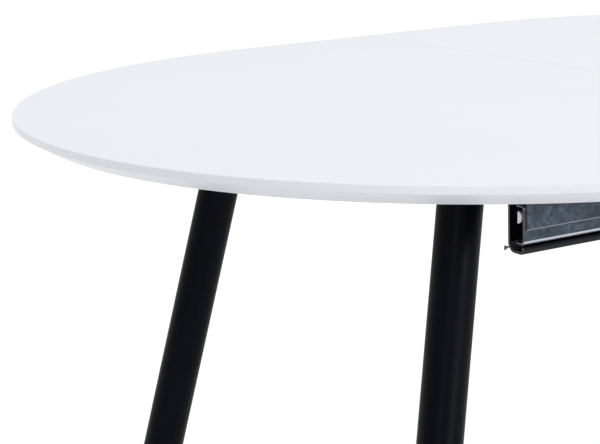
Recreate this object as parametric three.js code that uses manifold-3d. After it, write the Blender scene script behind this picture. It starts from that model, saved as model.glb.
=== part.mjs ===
// Oval extending dining table: two top halves on splayed tube legs, joined by
// sheet-metal slide rails that run on rollers of a hidden centre frame.
// Millimetres, +Z up, X along the table, origin on the floor under the centre.
import * as THREE from 'three';
import { mergeVertices } from 'three/addons/utils/BufferGeometryUtils.js';
import Module from 'manifold-3d';

const wasm = await Module();
wasm.setup();

// Driving dimensions of the top
const tableHeight = 750;
const topLength = 1500;
const topWidth = 1100;
const topThickness = 22;
const bottomInset = 25.5;
const sideHeight = 8;
const arris = 1.5;
const seamGap = 0.6;
const topFacets = 96;
const gap = 0.3;
const endRadius = topWidth / 2;
const endCentre = topLength / 2 - endRadius;
const underside = tableHeight - topThickness;

// Legs, their plates and their floor glides
const legRadius = 23.75;
const legWall = 2;
const legTop = { x: 413.5, y: 221 };
const legSlope = { x: 0.218, y: 0.125 };
const plate = { size: 110, thickness: 5, corner: 12, holeInset: 14, holeRadius: 3 };
const glide = { height: 7.6, base: 20, rim: 24.1, rimBevel: 0.5, plug: 17, plugHeight: 6.4 };

// Slide rails, their mounting angles and the centre channels, as bent sheet
const railEnd = 439;
const railInnerEnd = 5;
const rail = { tip: 334, web: 344.7, low: 666.2, high: 702.6, sheet: 2, bend: 2.5 };
const angle = { web: 347.1, low: 680, foot: 378, sheet: 2, bend: 2.5, endInset: 2.4 };
const railStop = { x: 13, sheet: 2, depth: 9, halfHeight: 9 };
const channel = { web: 323.2, low: 657, top: 724, lip: 344.3, lipTop: 663.2, sheet: 3 };
const channelBends = [8.5, 4];
const tab = { inner: 315.5, outer: 322.9, low: 655.3, high: 660.2, sheet: 2 };

// Rollers on axles, and half-round slide shoes on pins at the channel ends
const roller = { x: 285, radius: 16.7, inner: 335.2, outer: 341.6, arris: 1 };
const rollerHeight = (rail.low + rail.high) / 2;
const axle = { radius: 4, head: 8, inner: 319, outer: 342.6 };
const shoe = { from: 421, to: 431, flat: 334.6, z: 692.15, bulge: 8.6, halfHeight: 9.15 };
const shoeNeck = { from: 430.5, to: 437, radius: 2.6 };
const shoeNose = { from: 436.6, to: 438.4, flat: 335.4, z: 691.2, radius: 5.8 };
const shoePin = { x: 426, radius: 3, head: 6, inner: 319, outer: 339.5 };

// Centre frame, folded leaf, dowels and latches
const crossBar = { x: 150, width: 40, height: 17, top: 677.4, wall: 2 };
const leaf = { length: 499, width: 549, low: 678, gap: 4, hingeX: 170 };
const dowel = { radius: 4, length: 40, z: 739, places: [-300, 0, 300] };
const latch = { y: 455, x: 30, low: 715.2, sheet: 4, head: 8, reach: 95, arm: 8, hook: 15 };
const latchPin = { pivot: 4, stud: 3.4, slot: 5, headHeight: 2 };
const latchHook = { rise: 18, flat: 12, boss: 12, tip: 3, slotEnd: 0.4 };
const leafHingeSize = { halfLength: 30, flap: 32, overlap: 4, halfSheet: 1.6, knuckle: 4, knuckleOut: 5 };

// ---- materials
function paint(color, roughness, metalness) {
  return new THREE.MeshStandardMaterial({ color, roughness, metalness });
}
const finishes = {
  laminate: paint(0xf0f1f4, 0.35, 0),
  blackPaint: paint(0x17181b, 0.45, 0.2),
  zinc: paint(0x6d7882, 0.4, 0.9),
  steel: paint(0x9a9da1, 0.35, 0.9),
  nylon: paint(0xe4e4e8, 0.5, 0),
  glide: paint(0x1a1a1b, 0.6, 0),
  beech: paint(0xcaa777, 0.6, 0),
};

// ---- solids
function toSolid(geometry) {
  const bare = geometry.clone();
  bare.deleteAttribute('normal');
  bare.deleteAttribute('uv');
  const merged = mergeVertices(bare, 1e-4);
  const vertProperties = new Float32Array(merged.attributes.position.array);
  const triVerts = new Uint32Array(merged.index.array);
  return new wasm.Manifold(new wasm.Mesh({ numProp: 3, vertProperties, triVerts }));
}

function toGeometry(solid) {
  const mesh = solid.getMesh();
  const geometry = new THREE.BufferGeometry();
  geometry.setAttribute('position', new THREE.BufferAttribute(mesh.vertProperties, 3));
  geometry.setIndex(new THREE.BufferAttribute(mesh.triVerts, 1));
  const flat = geometry.toNonIndexed();
  flat.computeVertexNormals();
  return flat;
}

const table = new THREE.Group();

function add(name, geometry, material) {
  const mesh = new THREE.Mesh(geometry, material.clone());
  mesh.name = name;
  table.add(mesh);
  return mesh;
}

// A round bar along Z, from z0 to z1.
function roundBar(radius, x, y, z0, z1, facets = 24) {
  const bar = new THREE.CylinderGeometry(radius, radius, z1 - z0, facets);
  bar.rotateX(Math.PI / 2);
  bar.translate(x, y, (z0 + z1) / 2);
  return bar;
}

function box(x0, x1, y0, y1, z0, z1) {
  const block = new THREE.BoxGeometry(x1 - x0, y1 - y0, z1 - z0);
  block.translate((x0 + x1) / 2, (y0 + y1) / 2, (z0 + z1) / 2);
  return block;
}

function shapeOf(points) {
  return new THREE.Shape(points.map(([a, b]) => new THREE.Vector2(a, b)));
}

// A section in the Y-Z plane, run along X from x0 to x1.
function alongX(shape, x0, x1) {
  const run = new THREE.ExtrudeGeometry(shape, { depth: x1 - x0, bevelEnabled: false });
  const axes = new THREE.Matrix4();
  axes.makeBasis(new THREE.Vector3(0, 1, 0), new THREE.Vector3(0, 0, 1), new THREE.Vector3(1, 0, 0));
  run.applyMatrix4(axes);
  run.translate(x0, 0, 0);
  return run;
}

// The outline of bent sheet: a middle line with its corners rounded, half the
// sheet on either side. Corners are [a, b] points, bends are middle-line radii.
function bentSheet(corners, bends, sheet) {
  const steps = 5;
  const left = [];
  const right = [];
  const put = (point, normal) => {
    left.push([point.x + normal.x * sheet / 2, point.y + normal.y * sheet / 2]);
    right.push([point.x - normal.x * sheet / 2, point.y - normal.y * sheet / 2]);
  };
  const line = corners.map(([a, b]) => new THREE.Vector2(a, b));
  const turned = (v) => new THREE.Vector2(-v.y, v.x);
  for (let i = 0; i < line.length; i += 1) {
    const before = i > 0 ? line[i].clone().sub(line[i - 1]).normalize() : null;
    const after = i < line.length - 1 ? line[i + 1].clone().sub(line[i]).normalize() : null;
    if (!before || !after) {
      put(line[i], turned(before || after));
      continue;
    }
    const bend = bends[Math.min(i - 1, bends.length - 1)];
    const turn = Math.sign(before.cross(after));
    const sweep = Math.acos(before.dot(after));
    const start = line[i].clone().addScaledVector(before, -bend * Math.tan(sweep / 2));
    const centre = start.clone().addScaledVector(turned(before), turn * bend);
    for (let k = 0; k <= steps; k += 1) {
      const normal = turned(before).rotateAround(new THREE.Vector2(), turn * sweep * k / steps);
      put(centre.clone().addScaledVector(normal, -turn * bend), normal);
    }
  }
  return shapeOf(left.concat(right.reverse()));
}

const sides = [
  { word: 'front', y: -1 },
  { word: 'back', y: 1 },
];
const ends = [
  { word: 'left', x: -1 },
  { word: 'right', x: 1 },
];

// An X range that starts at near and stops at far, on one end of the table.
function span(end, near, far) {
  return end.x > 0 ? [near, far] : [-far, -near];
}

// ---- top halves: a straight middle and a round end, bevelled below
const edgeProfile = [
  [endRadius - bottomInset, underside],
  [endRadius, tableHeight - sideHeight],
  [endRadius, tableHeight - arris],
  [endRadius - arris, tableHeight],
];

function topHalf(end) {
  const ring = [[0, underside], ...edgeProfile, [0, tableHeight]];
  const round = new THREE.LatheGeometry(ring.map(([r, z]) => new THREE.Vector2(r, z)), topFacets);
  round.rotateX(Math.PI / 2);
  round.translate(end.x * endCentre, 0, 0);
  const mirrored = edgeProfile.map(([r, z]) => [-r, z]).reverse();
  const [x0, x1] = span(end, seamGap / 2, endCentre);
  const slab = alongX(shapeOf([...edgeProfile, ...mirrored]), x0, x1);
  const [h0, h1] = span(end, seamGap / 2, topLength);
  const half = box(h0, h1, -topWidth, topWidth, underside - 10, tableHeight + 10);
  let solid = toSolid(round).add(toSolid(slab)).intersect(toSolid(half));
  for (const y of dowel.places) {
    solid = solid.subtract(toSolid(dowelBar(dowel.radius + gap, dowel.length / 2 + gap, y)));
  }
  return toGeometry(solid);
}

function dowelBar(radius, halfLength, y) {
  const bar = new THREE.CylinderGeometry(radius, radius, 2 * halfLength, 16);
  bar.rotateZ(Math.PI / 2);
  bar.translate(0, y, dowel.z);
  return bar;
}

for (const end of ends) {
  add(`top_${end.word}`, topHalf(end), finishes.laminate);
}
dowel.places.forEach((y, i) => {
  add(`dowel_${i + 1}`, dowelBar(dowel.radius, dowel.length / 2, y), finishes.beech);
});

// ---- legs: a splayed tube, cut level at both ends, under a screwed plate
const tubeTop = underside - plate.thickness - 2 * gap;
const tubeLow = glide.height + gap;

function legPoint(end, side, z) {
  const drop = underside - z;
  const x = end.x * (legTop.x + legSlope.x * drop);
  const y = side.y * (legTop.y + legSlope.y * drop);
  return new THREE.Vector3(x, y, z);
}

function legBar(end, side, radius) {
  const over = 60;
  const from = legPoint(end, side, tubeLow - over);
  const to = legPoint(end, side, tubeTop + over);
  const along = to.clone().sub(from);
  const bar = new THREE.CylinderGeometry(radius, radius, along.length(), 32);
  bar.translate(0, along.length() / 2, 0);
  const up = new THREE.Vector3(0, 1, 0);
  bar.applyQuaternion(new THREE.Quaternion().setFromUnitVectors(up, along.normalize()));
  bar.translate(from.x, from.y, from.z);
  return toSolid(bar);
}

function legTube(end, side) {
  const level = toSolid(box(-topLength, topLength, -topWidth, topWidth, tubeLow, tubeTop));
  const tube = legBar(end, side, legRadius).subtract(legBar(end, side, legRadius - legWall));
  return toGeometry(tube.intersect(level));
}

function legPlate(end, side) {
  const centre = legPoint(end, side, tubeTop);
  const half = plate.size / 2;
  const corner = plate.corner;
  const outline = new THREE.Shape();
  outline.absarc(half - corner, half - corner, corner, 0, Math.PI / 2);
  outline.absarc(corner - half, half - corner, corner, Math.PI / 2, Math.PI);
  outline.absarc(corner - half, corner - half, corner, Math.PI, 1.5 * Math.PI);
  outline.absarc(half - corner, corner - half, corner, 1.5 * Math.PI, 2 * Math.PI);
  for (const [sx, sy] of [[-1, -1], [-1, 1], [1, -1], [1, 1]]) {
    const hole = new THREE.Path();
    const reach = half - plate.holeInset;
    hole.absarc(sx * reach, sy * reach, plate.holeRadius, 0, 2 * Math.PI, true);
    outline.holes.push(hole);
  }
  const options = { depth: plate.thickness, bevelEnabled: false, curveSegments: 6 };
  const body = new THREE.ExtrudeGeometry(outline, options);
  body.translate(centre.x, centre.y, tubeTop + gap);
  return body;
}

function footGlide(end, side) {
  const centre = legPoint(end, side, glide.height);
  const plugTop = glide.height + glide.plugHeight;
  const profile = [
    [0, 0],
    [glide.base, 0],
    [glide.rim - glide.rimBevel, 1.5],
    [glide.rim, 3],
    [glide.rim, glide.height],
    [glide.plug, glide.height],
    [glide.plug, plugTop],
    [0, plugTop],
  ];
  const body = new THREE.LatheGeometry(profile.map(([r, z]) => new THREE.Vector2(r, z)), 32);
  body.rotateX(Math.PI / 2);
  body.translate(centre.x, centre.y, 0);
  return body;
}

for (const end of ends) {
  for (const side of sides) {
    const place = `${side.word}_${end.word}`;
    add(`leg_${place}`, legTube(end, side), finishes.blackPaint);
    add(`leg_plate_${place}`, legPlate(end, side), finishes.blackPaint);
    add(`foot_glide_${place}`, footGlide(end, side), finishes.glide);
  }
}

// ---- slide rails: a C that opens inward, with a bent-in stop at the inner end
function slideRail(end, side) {
  const line = [[rail.tip, rail.high], [rail.web, rail.high], [rail.web, rail.low], [rail.tip, rail.low]];
  const section = bentSheet(line.map(([y, z]) => [side.y * y, z]), [rail.bend], rail.sheet);
  const body = toSolid(alongX(section, ...span(end, railInnerEnd, railEnd)));
  const stopY = [side.y * (rail.web - railStop.depth), side.y * rail.web].sort((a, b) => a - b);
  const stopX = span(end, railStop.x, railStop.x + railStop.sheet);
  const stopRise = railStop.halfHeight;
  const stop = box(...stopX, ...stopY, rollerHeight - stopRise, rollerHeight + stopRise);
  return toGeometry(body.add(toSolid(stop)));
}

// Mounting angle: stands against the rail's web and screws up into the top.
function mountingAngle(end, side) {
  const top = underside - gap - angle.sheet / 2;
  const line = [[angle.web, angle.low], [angle.web, top], [angle.foot, top]];
  const section = bentSheet(line.map(([y, z]) => [side.y * y, z]), [angle.bend], angle.sheet);
  return alongX(section, ...span(end, railInnerEnd, railEnd - angle.endInset));
}

for (const end of ends) {
  for (const side of sides) {
    add(`slide_rail_${side.word}_${end.word}`, slideRail(end, side), finishes.zinc);
    add(`rail_angle_${side.word}_${end.word}`, mountingAngle(end, side), finishes.zinc);
  }
}

// ---- centre frame: a channel on each side, joined by two cross bars
function alongY(radius, side, x, near, far, z, facets) {
  const bar = new THREE.CylinderGeometry(radius, radius, far - near, facets);
  bar.translate(x, side.y * (near + far) / 2, z);
  return bar;
}

function centreChannel(side) {
  const line = [
    [channel.web, channel.top],
    [channel.web, channel.low],
    [channel.lip, channel.low],
    [channel.lip, channel.lipTop],
  ];
  const section = bentSheet(line.map(([y, z]) => [side.y * y, z]), channelBends, channel.sheet);
  let solid = toSolid(alongX(section, -railEnd, railEnd));
  for (const end of ends) {
    const [near, far] = [channel.web - 2 * channel.sheet, channel.web + 2 * channel.sheet];
    const axleHole = alongY(axle.radius + gap, side, end.x * roller.x, near, far, rollerHeight, 20);
    const pinHole = alongY(shoePin.radius + gap, side, end.x * shoePin.x, near, far, shoe.z, 20);
    solid = solid.subtract(toSolid(axleHole)).subtract(toSolid(pinHole));
  }
  return toGeometry(solid);
}

// Small three-cornered tab at the low corner of each channel end.
function cornerTab(end, side) {
  const outline = [[tab.inner, tab.low], [tab.inner, tab.high], [tab.outer, tab.high]];
  const shape = shapeOf(outline.map(([y, z]) => [side.y * y, z]));
  return alongX(shape, ...span(end, railEnd - tab.sheet, railEnd));
}

function crossTube(x) {
  const halfLength = channel.web - channel.sheet / 2 - gap;
  const w = crossBar.width / 2;
  const z0 = crossBar.top - crossBar.height;
  const outer = box(x - w, x + w, -halfLength, halfLength, z0, crossBar.top);
  const t = crossBar.wall;
  const inner = box(x - w + t, x + w - t, -topWidth, topWidth, z0 + t, crossBar.top - t);
  return toGeometry(toSolid(outer).subtract(toSolid(inner)));
}

function rollerRing(end, side) {
  const { inner: near, outer: far, radius, arris: edge } = roller;
  const bore = axle.radius + 0.1;
  const profile = [
    [bore, near],
    [radius - edge, near],
    [radius, near + edge],
    [radius, far - edge],
    [radius - edge, far],
    [bore, far],
    [bore, near],
  ];
  const ring = new THREE.LatheGeometry(profile.map(([r, y]) => new THREE.Vector2(r, y)), 32);
  if (side.y < 0) {
    ring.rotateX(Math.PI);
  }
  ring.translate(end.x * roller.x, 0, rollerHeight);
  return ring;
}

// A pin through the channel's web, with its head on the inboard side.
function webPin(pin, end, side, x, z) {
  const headEnd = channel.web - channel.sheet / 2 - gap;
  const head = alongY(pin.head, side, end.x * x, pin.inner, headEnd, z, 20);
  const shank = alongY(pin.radius, side, end.x * x, pin.inner + 1, pin.outer, z, 20);
  return toGeometry(toSolid(head).add(toSolid(shank)));
}

// A section flat on the inboard side and half-round towards the rail.
function halfRound(side, flat, z, bulge, halfHeight) {
  const points = [];
  for (let i = 0; i <= 16; i += 1) {
    const turn = (i / 16 - 0.5) * Math.PI;
    points.push([side.y * (flat + bulge * Math.cos(turn)), z + halfHeight * Math.sin(turn)]);
  }
  return shapeOf(points);
}

function slideShoe(end, side) {
  const section = halfRound(side, shoe.flat, shoe.z, shoe.bulge, shoe.halfHeight);
  const body = toSolid(alongX(section, ...span(end, shoe.from, shoe.to)));
  const [nose, neck] = [shoeNose, shoeNeck].map(({ from, to, radius }) => {
    const round = halfRound(side, shoeNose.flat, shoeNose.z, radius, radius);
    return toSolid(alongX(round, ...span(end, from, to)));
  });
  const [near, far] = [shoe.flat - 2, shoePin.outer + gap];
  const hole = toSolid(alongY(shoePin.radius + 0.1, side, end.x * shoePin.x, near, far, shoe.z, 20));
  return toGeometry(body.add(neck).add(nose).subtract(hole));
}

for (const side of sides) {
  add(`centre_channel_${side.word}`, centreChannel(side), finishes.blackPaint);
  for (const end of ends) {
    const place = `${side.word}_${end.word}`;
    add(`corner_tab_${place}`, cornerTab(end, side), finishes.steel);
    add(`roller_${place}`, rollerRing(end, side), finishes.nylon);
    add(`axle_${place}`, webPin(axle, end, side, roller.x, rollerHeight), finishes.steel);
    add(`slide_shoe_${place}`, slideShoe(end, side), finishes.nylon);
    add(`shoe_pin_${place}`, webPin(shoePin, end, side, shoePin.x, shoe.z), finishes.steel);
  }
}
for (const end of ends) {
  add(`cross_bar_${end.word}`, crossTube(end.x * crossBar.x), finishes.blackPaint);
}

// ---- extension leaf, folded under-face to under-face and laid on the bars
const leafStack = [
  { word: 'lower', z0: leaf.low, bevelUp: true },
  { word: 'upper', z0: leaf.low + topThickness + leaf.gap, bevelUp: false },
];

function leafPanel(panel) {
  const fold = leaf.width / 2;
  const flip = (z) => (panel.bevelUp ? panel.z0 + topThickness - z : panel.z0 + z);
  const outline = [
    [-fold, 0],
    [fold - bottomInset, 0],
    [fold, topThickness - sideHeight],
    [fold, topThickness - arris],
    [fold - arris, topThickness],
    [-fold, topThickness],
  ];
  const shape = shapeOf(outline.map(([y, z]) => [y, flip(z)]));
  return alongX(shape, -leaf.length / 2, leaf.length / 2);
}

// Butt hinge, shut: two flaps in the gap between the panels and one knuckle.
function leafHinge(x) {
  const fold = -leaf.width / 2;
  const middle = leaf.low + topThickness + leaf.gap / 2;
  const { halfLength, flap, overlap, halfSheet, knuckle: radius, knuckleOut } = leafHingeSize;
  const [z0, z1] = [middle - halfSheet, middle + halfSheet];
  const flaps = box(x - halfLength, x + halfLength, fold - overlap, fold + flap, z0, z1);
  const knuckle = new THREE.CylinderGeometry(radius, radius, 2 * halfLength, 20);
  knuckle.rotateZ(Math.PI / 2);
  knuckle.translate(x, fold - knuckleOut, middle);
  return toGeometry(toSolid(flaps).add(toSolid(knuckle)));
}

for (const panel of leafStack) {
  add(`leaf_${panel.word}`, leafPanel(panel), finishes.laminate);
}
for (const end of ends) {
  add(`leaf_hinge_${end.word}`, leafHinge(end.x * leaf.hingeX), finishes.steel);
}

// ---- latches: a lever on the left half hooks a stud on the right half
function latchPivot(side) {
  const [x, y] = [-latch.x, side.y * latch.y];
  const headTop = latch.low - gap;
  const head = roundBar(latch.head, x, y, headTop - latchPin.headHeight, headTop);
  const shank = roundBar(latchPin.pivot, x, y, headTop - 1, underside - gap);
  return toGeometry(toSolid(head).add(toSolid(shank)));
}

function latchStud(side) {
  const low = latch.low - gap - latchPin.headHeight;
  return roundBar(latchPin.stud, latch.x, side.y * latch.y, low, underside - gap);
}

// The lever at rest points to the table's middle; it shuts by a quarter turn.
function latchLever(side) {
  const spacing = 2 * latch.x;
  const { reach, arm, hook } = latch;
  const { rise, flat, boss: bossRadius, tip, slotEnd } = latchHook;
  const turn = (angleOf, radius) => [Math.cos(angleOf) * radius, Math.sin(angleOf) * radius];
  const outline = shapeOf([
    [0, -arm],
    [spacing - arm, -arm],
    [spacing, -hook],
    [spacing + flat, -hook],
    [spacing + rise, -arm],
    [reach - tip, -arm],
    [reach, tip - arm],
    [reach, arm - tip],
    [reach - tip, arm],
    [spacing + rise, arm],
    [spacing + flat, hook],
    [spacing - flat, hook],
    [spacing - rise, arm],
    [0, arm],
  ]);
  const options = { depth: latch.sheet, bevelEnabled: false };
  const plate = toSolid(new THREE.ExtrudeGeometry(outline, options));
  const boss = toSolid(roundBar(bossRadius, 0, 0, 0, latch.sheet, 32));
  const slot = [];
  const clear = latchPin.slot;
  const steps = 8;
  for (let i = 0; i <= steps; i += 1) {
    slot.push(turn(slotEnd * i / steps, spacing + clear));
  }
  for (let i = steps; i >= 0; i -= 1) {
    slot.push(turn(slotEnd * i / steps, spacing - clear));
  }
  const through = { depth: 3 * latch.sheet, bevelEnabled: false };
  const slotRun = new THREE.ExtrudeGeometry(shapeOf(slot), through);
  slotRun.translate(0, 0, -latch.sheet);
  const slotRound = roundBar(clear, spacing, 0, -latch.sheet, 2 * latch.sheet);
  const hole = roundBar(latchPin.pivot + 0.1, 0, 0, -latch.sheet, 2 * latch.sheet);
  let lever = plate.add(boss).subtract(toSolid(slotRun));
  lever = lever.subtract(toSolid(slotRound)).subtract(toSolid(hole));
  const geometry = toGeometry(lever);
  if (side.y < 0) {
    geometry.rotateX(Math.PI);
    geometry.translate(0, 0, latch.sheet);
  }
  geometry.rotateZ(-side.y * Math.PI / 2);
  geometry.translate(-latch.x, side.y * latch.y, latch.low);
  return geometry;
}

for (const side of sides) {
  add(`latch_lever_${side.word}`, latchLever(side), finishes.steel);
  add(`latch_pivot_${side.word}`, latchPivot(side), finishes.steel);
  add(`latch_stud_${side.word}`, latchStud(side), finishes.steel);
}

export default table;
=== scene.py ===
import math

import bmesh
import bpy
from mathutils import Matrix, Vector


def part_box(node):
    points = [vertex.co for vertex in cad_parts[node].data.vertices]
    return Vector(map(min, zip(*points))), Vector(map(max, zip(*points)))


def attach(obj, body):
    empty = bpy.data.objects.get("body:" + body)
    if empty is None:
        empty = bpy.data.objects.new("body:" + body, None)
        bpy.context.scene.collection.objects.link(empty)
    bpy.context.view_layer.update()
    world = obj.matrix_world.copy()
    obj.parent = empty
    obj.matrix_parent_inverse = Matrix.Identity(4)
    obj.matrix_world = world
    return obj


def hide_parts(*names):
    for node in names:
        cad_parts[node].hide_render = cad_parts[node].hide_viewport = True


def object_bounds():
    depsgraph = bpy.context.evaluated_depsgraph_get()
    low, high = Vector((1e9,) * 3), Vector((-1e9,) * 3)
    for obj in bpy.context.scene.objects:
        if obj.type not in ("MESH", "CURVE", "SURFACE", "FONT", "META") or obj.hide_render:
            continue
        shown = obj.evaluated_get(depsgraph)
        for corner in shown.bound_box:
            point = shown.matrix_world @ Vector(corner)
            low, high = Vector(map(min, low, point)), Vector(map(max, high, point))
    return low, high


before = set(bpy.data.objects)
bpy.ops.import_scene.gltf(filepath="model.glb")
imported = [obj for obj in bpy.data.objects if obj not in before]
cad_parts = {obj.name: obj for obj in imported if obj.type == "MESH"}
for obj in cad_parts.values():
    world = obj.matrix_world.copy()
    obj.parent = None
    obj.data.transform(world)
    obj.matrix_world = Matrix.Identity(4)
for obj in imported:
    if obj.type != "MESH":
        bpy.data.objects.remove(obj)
CAD_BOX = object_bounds()
MM = 0.001
SIDES = {"front": -1, "back": 1}
ENDS = {"left": -1, "right": 1}
PLACES = [(side, end) for side in SIDES for end in ENDS]


# ---- Camera: off the table's front left corner, a little above the top, looking
# down along it through a long lens.
CAMERA_YAW = 0.5689
CAMERA_PITCH = 0.2166
CAMERA_ROLL = -0.0284
CAMERA_FROM_TOP = Vector((-1.5650, -1.7138, 0.3318))
CAMERA_LENS_MM = 114.36

top_centre = Vector((0, 0, CAD_BOX[1].z))
ahead = Vector((
    math.sin(CAMERA_YAW) * math.cos(CAMERA_PITCH),
    math.cos(CAMERA_YAW) * math.cos(CAMERA_PITCH),
    -math.sin(CAMERA_PITCH),
))
level_right = ahead.cross(Vector((0, 0, 1))).normalized()
level_up = level_right.cross(ahead)
camera_x = level_right * math.cos(CAMERA_ROLL) + level_up * math.sin(CAMERA_ROLL)
camera_y = level_up * math.cos(CAMERA_ROLL) - level_right * math.sin(CAMERA_ROLL)
camera = bpy.data.objects.new("camera", bpy.data.cameras.new("camera"))
bpy.context.collection.objects.link(camera)
turn = Matrix((camera_x, camera_y, -ahead)).transposed().to_4x4()
camera.matrix_world = Matrix.Translation(top_centre + CAMERA_FROM_TOP) @ turn
camera.data.lens = CAMERA_LENS_MM
camera.data.sensor_width = 36
camera.data.clip_end = 200
bpy.context.scene.camera = camera


# ---- Stage: a matt white floor with a painted glow that grows towards the back right,
# a white room that is brighter overhead and behind than in front and on the left, and
# two soft lamps, in front and off the corner.
FLOOR_HALF = 40
FLOOR_DROP = 0.5 * MM
FLOOR_GLOW = 0.42
GLOW_ALONG = (0.54, 0.84, 0.0)
GLOW_FROM_TO = (-1.8, 0.75)
ROOM_LEVEL = 0.66
ROOM_SLOPE = (0.34, 0.22, 0.0)
ROOM_OVERHEAD = 1.20
LAMPS = {
    "front": {"at": (1.8, -9.0, 0.9), "to": (0, 0, 0.6), "size": 4.2, "watts": 360},
    "corner": {"at": (-6.4, -6.2, 2.2), "to": (-0.4, -0.2, 0.5), "size": 1.5, "watts": 52},
}


def rgb(code):
    """An sRGB hex colour as linear red, green, blue and alpha."""
    parts = [int(code[i:i + 2], 16) / 255 for i in (1, 3, 5)]
    linear = [p / 12.92 if p <= 0.04045 else ((p + 0.055) / 1.055) ** 2.4 for p in parts]
    return (*linear, 1.0)


def add(tree, kind, inputs=None, **settings):
    """Adds a node, with its settings, and its inputs as values or links."""
    node = tree.nodes.new(kind)
    for key, value in settings.items():
        setattr(node, key, value)
    for key, value in (inputs or {}).items():
        if isinstance(value, bpy.types.NodeSocket):
            tree.links.new(value, node.inputs[key])
        else:
            node.inputs[key].default_value = value
    return node


def new_material(name, colour, roughness, metallic=0.0):
    """A material with one Principled shader: the material, its tree, the shader."""
    material = bpy.data.materials.new(name)
    material.use_nodes = True
    shader = material.node_tree.nodes["Principled BSDF"]
    shader.inputs["Base Color"].default_value = rgb(colour)
    shader.inputs["Roughness"].default_value = roughness
    shader.inputs["Metallic"].default_value = metallic
    return material, material.node_tree, shader


floor_mesh = bpy.data.meshes.new("floor")
corners = [(-1, -1), (1, -1), (1, 1), (-1, 1)]
floor_points = [(x * FLOOR_HALF, y * FLOOR_HALF, -FLOOR_DROP) for x, y in corners]
floor_mesh.from_pydata(floor_points, [], [(0, 1, 2, 3)])
floor_paint, floor_tree, floor_shader = new_material("matt white floor with painted glow", "#d6d6d7", 0.9)
floor_shader.inputs["Specular IOR Level"].default_value = 0.1
# Painted light: the floor glows, more towards the back right, and lights the table from below.
floor_shader.inputs["Emission Color"].default_value = rgb("#ffffff")
spot = add(floor_tree, "ShaderNodeTexCoord").outputs["Object"]
depth = add(floor_tree, "ShaderNodeVectorMath", {0: spot, 1: GLOW_ALONG}, operation="DOT_PRODUCT")
glow = add(floor_tree, "ShaderNodeMapRange", {
    "Value": depth.outputs["Value"], "From Min": GLOW_FROM_TO[0],
    "From Max": GLOW_FROM_TO[1], "To Max": FLOOR_GLOW,
}, interpolation_type="SMOOTHSTEP")
floor_tree.links.new(glow.outputs["Result"], floor_shader.inputs["Emission Strength"])
floor_mesh.materials.append(floor_paint)
floor = bpy.data.objects.new("floor", floor_mesh)
bpy.context.collection.objects.link(floor)

room = bpy.data.worlds.new("white room")
room.use_nodes = True
backdrop = room.node_tree.nodes["Background"]
backdrop.inputs["Color"].default_value = rgb("#fdfdff")
way = add(room.node_tree, "ShaderNodeTexCoord").outputs["Generated"]
slope = add(room.node_tree, "ShaderNodeVectorMath", {0: way, 1: ROOM_SLOPE}, operation="DOT_PRODUCT")
low_light = add(room.node_tree, "ShaderNodeMath", {
    0: slope.outputs["Value"], 1: ROOM_LEVEL,
}, operation="ADD")
rise = add(room.node_tree, "ShaderNodeSeparateXYZ", {"Vector": way})
above = add(room.node_tree, "ShaderNodeMath", {0: rise.outputs["Z"], 1: 0.0}, operation="MAXIMUM")
light_level = add(room.node_tree, "ShaderNodeMix", {
    0: above.outputs["Value"], 2: low_light.outputs["Value"], 3: ROOM_OVERHEAD,
}, data_type="FLOAT")
room.node_tree.links.new(light_level.outputs[0], backdrop.inputs["Strength"])
bpy.context.scene.world = room
bpy.context.scene.view_settings.view_transform = "Standard"

for lamp_name, lamp in LAMPS.items():
    light = bpy.data.lights.new(lamp_name, "AREA")
    light.size = lamp["size"]
    light.energy = lamp["watts"]
    holder = bpy.data.objects.new(lamp_name, light)
    bpy.context.collection.objects.link(holder)
    holder.location = lamp["at"]
    aim = Vector(lamp["to"]) - Vector(lamp["at"])
    holder.rotation_euler = aim.to_track_quat("-Z", "Y").to_euler()
    holder.visible_camera = False


# ---- Centre channels: two black steel channels, folded from 3 mm sheet with a
# wide lower corner and a small upturned lip. They carry the axles and the shoes.
CHANNEL_SHEET = 3 * MM
CHANNEL_BENDS = (8.5 * MM, 4 * MM)
CHANNEL_LIP = 7.7 * MM
CUT_EDGE = 0.3 * MM
END_DEPTH = 0.5 * MM
RIM_BAND = (0.9 * MM, 1.0 * MM)
FOLD_STEPS = 10
FOLD_FADE = 0.4 * MM
FACING = 0.99
SMOOTH_BELOW = math.radians(40)
PEEL_SIZE_MM = 2.2


def bent_sheet(line, bends, sheet, rim=0.0, fold_lights=(1.0,)):
    """The closed outline of folded sheet, as (a, b, bend) points. The line is its
    middle, with square corners; bends are their radii. bend is a level of painted
    light, read as a painted highlight on the faces and as painted shade on the cut
    ends: rim along the line's first end, and the last argument's levels on the folds."""
    line = [Vector(point) for point in line]
    left, right = [], []

    def put_pair(point, across, bend):
        left.append((*(point + across * sheet / 2), bend))
        right.append((*(point - across * sheet / 2), bend))

    def square(v):
        return Vector((-v.y, v.x))

    last = len(line) - 1
    for i, point in enumerate(line):
        before = (point - line[i - 1]).normalized() if i > 0 else None
        after = (line[i + 1] - point).normalized() if i < last else None
        if before is None:
            put_pair(point, square(after), rim)
            put_pair(point + after * RIM_BAND[0], square(after), rim)
            put_pair(point + after * RIM_BAND[1], square(after), 0.0)
            continue
        if after is None:
            put_pair(point, square(before), 0.0)
            continue
        radius = bends[min(i - 1, len(bends) - 1)]
        fold_light = fold_lights[min(i - 1, len(fold_lights) - 1)]
        sign = 1 if before.x * after.y - before.y * after.x > 0 else -1
        sweep = math.acos(max(-1.0, min(1.0, before.dot(after))))
        start = point - before * radius * math.tan(sweep / 2)
        centre = start + square(before) * sign * radius
        put_pair(start - before * FOLD_FADE, square(before), 0.0)
        for k in range(FOLD_STEPS + 1):
            across = square(before)
            across.rotate(Matrix.Rotation(sign * sweep * k / FOLD_STEPS, 2))
            put_pair(centre - across * sign * radius, across, fold_light)
        put_pair(centre - across * sign * radius + after * FOLD_FADE, across, 0.0)
    return left + right[::-1]


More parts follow.
